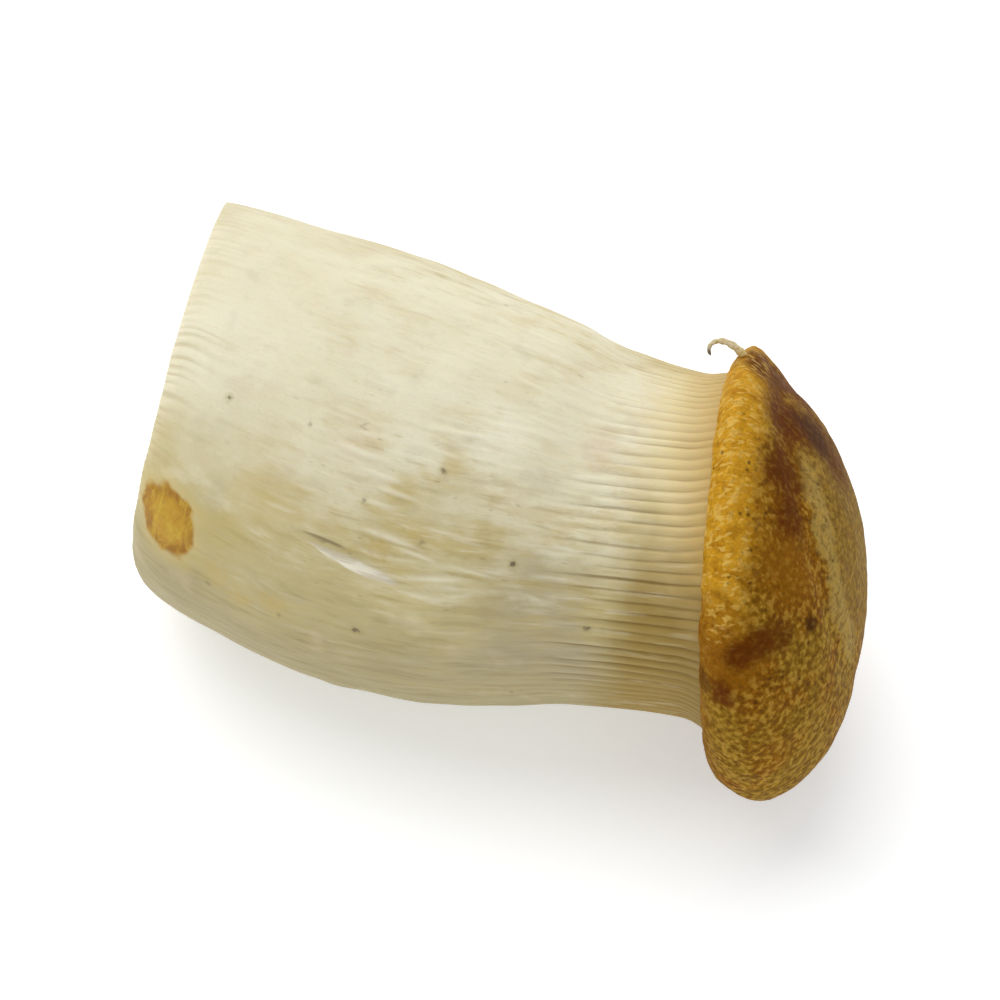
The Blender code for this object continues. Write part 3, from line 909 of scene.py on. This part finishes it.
def foot_colour(paint):
    """The pale cut face: stippled fibre ends, faint clouds and a thin darker skin round its edge."""
    past = paint.split(paint.field("grain", vector=True))[0]
    cloud = paint.noise(7.0, detail=3.0)
    fine = paint.noise(0.7, detail=3.0, roughness=0.6)
    cuts = paint.noise(1.2, at=paint.scaled(paint.place, (0.12, 1.0, 0.12)))
    colour = paint.over(CUT_LIGHT, CUT_SHADE, cloud, 0.38, 0.66, 1.0)
    colour = paint.over(colour, STRAW, cloud, 0.54, 0.74, 0.35)
    colour = paint.over(colour, STRAW, cuts, 0.50, 0.70, 0.25)
    colour = paint.over(colour, OLIVE, fine, 0.50, 0.72, 0.16)
    uneven = paint.plus(past, paint.times(paint.noise(3.0), 2.0))
    colour = paint.over(colour, STRAW, uneven, -3.0, 1.6, 0.45)
    return paint.over(colour, OLIVE, past, -0.9, -0.1, 0.5)


def finish(paint, colour, height, depth, roughness, gloss):
    """Joins a surface's colour, fine relief and roughness to its shader."""
    bump = paint.fill(paint.node("Bump"), {"Strength": 1.0, "Distance": depth * MM, "Height": height})
    settings = {
        "Base Color": colour,
        "Normal": bump.outputs["Normal"],
        "Roughness": roughness,
        "Subsurface Weight": 0.15,
        "Subsurface Radius": (1.0, 0.62, 0.30),
        "Subsurface Scale": 1.5 * MM,
        "Specular IOR Level": gloss,
    }
    paint.fill(paint.shader, settings)
    return paint.material


def flesh_surface(marks):
    paint = Paint("mushroom_flesh")
    hairs = paint.fibrous(0.12, 0.40, detail=3.0, roughness=0.6)
    grit = paint.noise(0.35, detail=3.0, roughness=0.6)
    height = paint.plus(paint.times(hairs, 0.8), paint.times(grit, 0.35))
    roughness = paint.rise(hairs, 0.35, 0.70, 0.60, 0.46)
    return finish(paint, flesh_colour(paint, marks), height, 0.09, roughness, 0.25)


def foot_surface():
    paint = Paint("mushroom_cut_face")
    grit = paint.noise(0.45, detail=4.0, roughness=0.65)
    return finish(paint, foot_colour(paint), grit, 0.10, paint.rise(grit, 0.3, 0.7, 0.55, 0.72), 0.22)


def cap_surface():
    paint = Paint("mushroom_cap_skin")
    leather = paint.noise(0.6, detail=4.0, roughness=0.65)
    return finish(paint, cap_colour(paint), leather, 0.12, paint.rise(leather, 0.3, 0.7, 0.55, 0.72), 0.03)


def make_body():
    skin = grow()
    mesh = bpy.data.meshes.new("mushroom_body")
    faces = skin.faces()
    mesh.from_pydata(skin.points * MM, [], faces)
    mesh.update()
    points, fields = shaped(skin, mesh)
    points = laid_down(points)
    mesh.vertices.foreach_set("co", points.astype(np.float32).ravel())
    mesh.shade_smooth()
    add_fields(mesh, fields)
    parts = skin.kind.tolist()
    kinds = [[parts[i] for i in face] for face in faces]
    slots = [CAP if CAP in (kind[0], kind[-1]) else min(kind) for kind in kinds]
    mesh.polygons.foreach_set("material_index", slots)
    mesh.update()
    marks = {
        "specks": [(nearest(skin, points, *speck[:2]), *speck[2:]) for speck in SPECKS],
        "stains": [(nearest(skin, points, *stain[:2]), *stain[2:]) for stain in STAINS],
        "clouds": [(nearest(skin, points, *cloud[:2]), *cloud[2:]) for cloud in CLOUDS],
    }
    for material in (foot_surface(), flesh_surface(marks), cap_surface()):
        mesh.materials.append(material)
    body = bpy.data.objects.new("mushroom_body", mesh)
    bpy.context.scene.collection.objects.link(body)
    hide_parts(NODE)
    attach(body, "root")
    return skin, points


# A curled shred of skin on the rim. Each row is a place to the right, up and towards the eye from its root,
# as the camera sees them, with the half width and half thickness there
SHRED_ROOT = (21.8, -16.3)
SHRED_ROOT_HEIGHTS = (-1.5, 1.0)
SHRED_RINGS = 49
SHRED_SIDES = 12
SHRED = (
    (0.4, -0.9, -0.2, 0.40, 0.26),
    (-0.4, -0.1, 0.1, 0.50, 0.26),
    (-1.2, 0.7, 0.1, 0.48, 0.22),
    (-2.1, 1.3, 0.0, 0.42, 0.20),
    (-3.1, 1.6, -0.2, 0.36, 0.18),
    (-3.9, 1.5, -0.4, 0.30, 0.17),
    (-4.45, 1.0, -0.5, 0.26, 0.16),
    (-4.55, 0.35, -0.4, 0.22, 0.15),
    (-4.35, -0.15, -0.3, 0.10, 0.08),
)


def shred_root(skin, points):
    """The point of the rim's edge nearest to where the shred grows from, in millimetres."""
    upwards, sideways, height = skin.cap_place.T
    miss = np.hypot(upwards - SHRED_ROOT[0], sideways - SHRED_ROOT[1])
    low, high = SHRED_ROOT_HEIGHTS
    miss[(skin.kind != CAP) | (height < low) | (height > high)] = np.inf
    return points[int(np.argmin(miss))] / MM


def make_shred(skin, points):
    """A thin tapering tube along a smooth curve, wider than it is thick, closed at both ends."""
    back, right, up = camera_axes()
    steps = [np.array(row)[None] for row in SHRED]
    rows = [loft(steps, place)[0] for place in np.linspace(0, len(steps) - 1, SHRED_RINGS)]
    root = shred_root(skin, points)
    path = np.array([root + row[:3] @ np.array((right, up, back)) for row in rows])
    corners, sides = [], SHRED_SIDES
    for i, (place, row) in enumerate(zip(path, rows)):
        ahead = path[min(i + 1, len(path) - 1)] - path[max(i - 1, 0)]
        ahead /= np.linalg.norm(ahead)
        across = np.cross(ahead, np.array(back))
        across /= np.linalg.norm(across)
        through = np.cross(across, ahead)
        for k in range(sides):
            turn = k * TURN / sides
            uneven = 1 + 0.12 * math.sin(i * 0.9 + k) + 0.08 * math.sin(i * 2.3 + 2 * k)
            outward = across * row[3] * math.cos(turn) + through * row[4] * math.sin(turn)
            corners.append(place + outward * uneven)
    faces = [tuple(range(sides - 1, -1, -1)), tuple(range(len(corners) - sides, len(corners)))]
    for i in range(len(rows) - 1):
        faces += faces_between(i * sides, sides, (i + 1) * sides, sides)
    mesh = bpy.data.meshes.new("rim_shred")
    mesh.from_pydata(np.array(corners) * MM, [], faces)
    mesh.shade_smooth()
    add_fields(mesh, {"along_shred": np.repeat(np.linspace(0.0, 1.0, len(rows)), sides)})
    mesh.materials.append(shred_surface())
    shred = bpy.data.objects.new("rim_shred", mesh)
    bpy.context.scene.collection.objects.link(shred)
    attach(shred, "root")


def shred_surface():
    paint = Paint("rim_shred_skin")
    along = paint.field("along_shred")
    mottle = paint.noise(0.5, detail=3.0)
    colour = paint.over(SHRED_LIGHT, SHRED_SHADE, mottle, 0.40, 0.65, 1.0)
    colour = paint.over(colour, GOLD_LIGHT, along, 0.30, 0.0, 0.9)
    colour = paint.over(colour, SHRED_TIP, along, 0.72, 0.92, 0.95)
    return finish(paint, colour, mottle, 0.06, paint.rise(mottle, 0.3, 0.7, 0.5, 0.7), 0.2)


# The camera looks down on the stem's side and aims at the middle of the mushroom. Here lengths are in metres
CAMERA_AZIMUTH = 20.0
CAMERA_ELEVATION = 52.0
CAMERA_DISTANCE = 0.63
CAMERA_AIM = (0.0, 0.0, 0.0278)
VIEW_WIDTH = 0.125
SENSOR = 36.0
FLOOR_HALF = 6.0
FLOOR = {
    "Base Color": (0.90, 0.90, 0.905, 1.0),
    "Emission Color": (0.92, 0.96, 1.0, 1.0),
    "Emission Strength": 0.44,
    "Roughness": 0.9,
    "Specular IOR Level": 0.1,
}
KEY_SPREAD = 65.0
KEY_STRENGTH = 1.9
KEY_COLOUR = (1.0, 0.985, 0.96)
KEY_FROM = (-0.45, 0.30, 1.0)
# The sky's strength falls from its edge upwards
SKY = {"From Min": 0.12, "From Max": 0.25, "To Min": 1.02, "To Max": 0.42}


def camera_axes():
    """Directions towards the camera, to its right and upwards in its picture."""
    turn, rise = math.radians(CAMERA_AZIMUTH), math.radians(CAMERA_ELEVATION)
    back = Vector((math.sin(turn) * math.cos(rise), -math.cos(turn) * math.cos(rise), math.sin(rise)))
    right = Vector((math.cos(turn), math.sin(turn), 0.0))
    return back, right, back.cross(right)


def make_camera():
    back = camera_axes()[0]
    camera = bpy.data.cameras.new("camera")
    camera.sensor_width = SENSOR
    camera.lens = SENSOR * CAMERA_DISTANCE / VIEW_WIDTH
    camera.clip_start, camera.clip_end = 0.05, 50.0
    holder = bpy.data.objects.new("camera", camera)
    holder.location = Vector(CAMERA_AIM) + back * CAMERA_DISTANCE
    holder.rotation_euler = back.to_track_quat("Z", "Y").to_euler()
    bpy.context.scene.collection.objects.link(holder)
    bpy.context.scene.camera = holder


def make_floor():
    mesh = bpy.data.meshes.new("floor")
    corners = [(x * FLOOR_HALF, y * FLOOR_HALF, 0) for x, y in ((-1, -1), (1, -1), (1, 1), (-1, 1))]
    mesh.from_pydata(corners, [], [(0, 1, 2, 3)])
    material = bpy.data.materials.new("floor_white")
    material.use_nodes = True
    shader = material.node_tree.nodes["Principled BSDF"]
    for name, value in FLOOR.items():
        shader.inputs[name].default_value = value
    mesh.materials.append(material)
    floor = bpy.data.objects.new("floor", mesh)
    bpy.context.scene.collection.objects.link(floor)


def make_light():
    """A broad soft key from behind and above, and a sky that is white near the horizon."""
    key = bpy.data.lights.new("key", "SUN")
    key.angle = math.radians(KEY_SPREAD)
    key.energy = KEY_STRENGTH
    key.color = KEY_COLOUR
    holder = bpy.data.objects.new("key", key)
    holder.rotation_euler = Vector(KEY_FROM).to_track_quat("Z", "Y").to_euler()
    bpy.context.scene.collection.objects.link(holder)
    world = bpy.data.worlds.new("studio")
    world.use_nodes = True
    tree = world.node_tree
    place = tree.nodes.new("ShaderNodeTexCoord")
    parts = tree.nodes.new("ShaderNodeSeparateXYZ")
    ramp = tree.nodes.new("ShaderNodeMapRange")
    ramp.interpolation_type = "SMOOTHSTEP"
    for name, number in SKY.items():
        ramp.inputs[name].default_value = number
    background = tree.nodes["Background"]
    background.inputs["Color"].default_value = (1.0, 1.0, 1.0, 1.0)
    tree.links.new(place.outputs["Generated"], parts.inputs[0])
    tree.links.new(parts.outputs["Z"], ramp.inputs["Value"])
    tree.links.new(ramp.outputs["Result"], background.inputs["Strength"])
    bpy.context.scene.world = world
    bpy.context.scene.view_settings.view_transform = "Standard"
    bpy.context.scene.view_settings.look = "None"


make_shred(*make_body())
make_floor()
make_light()
make_camera()
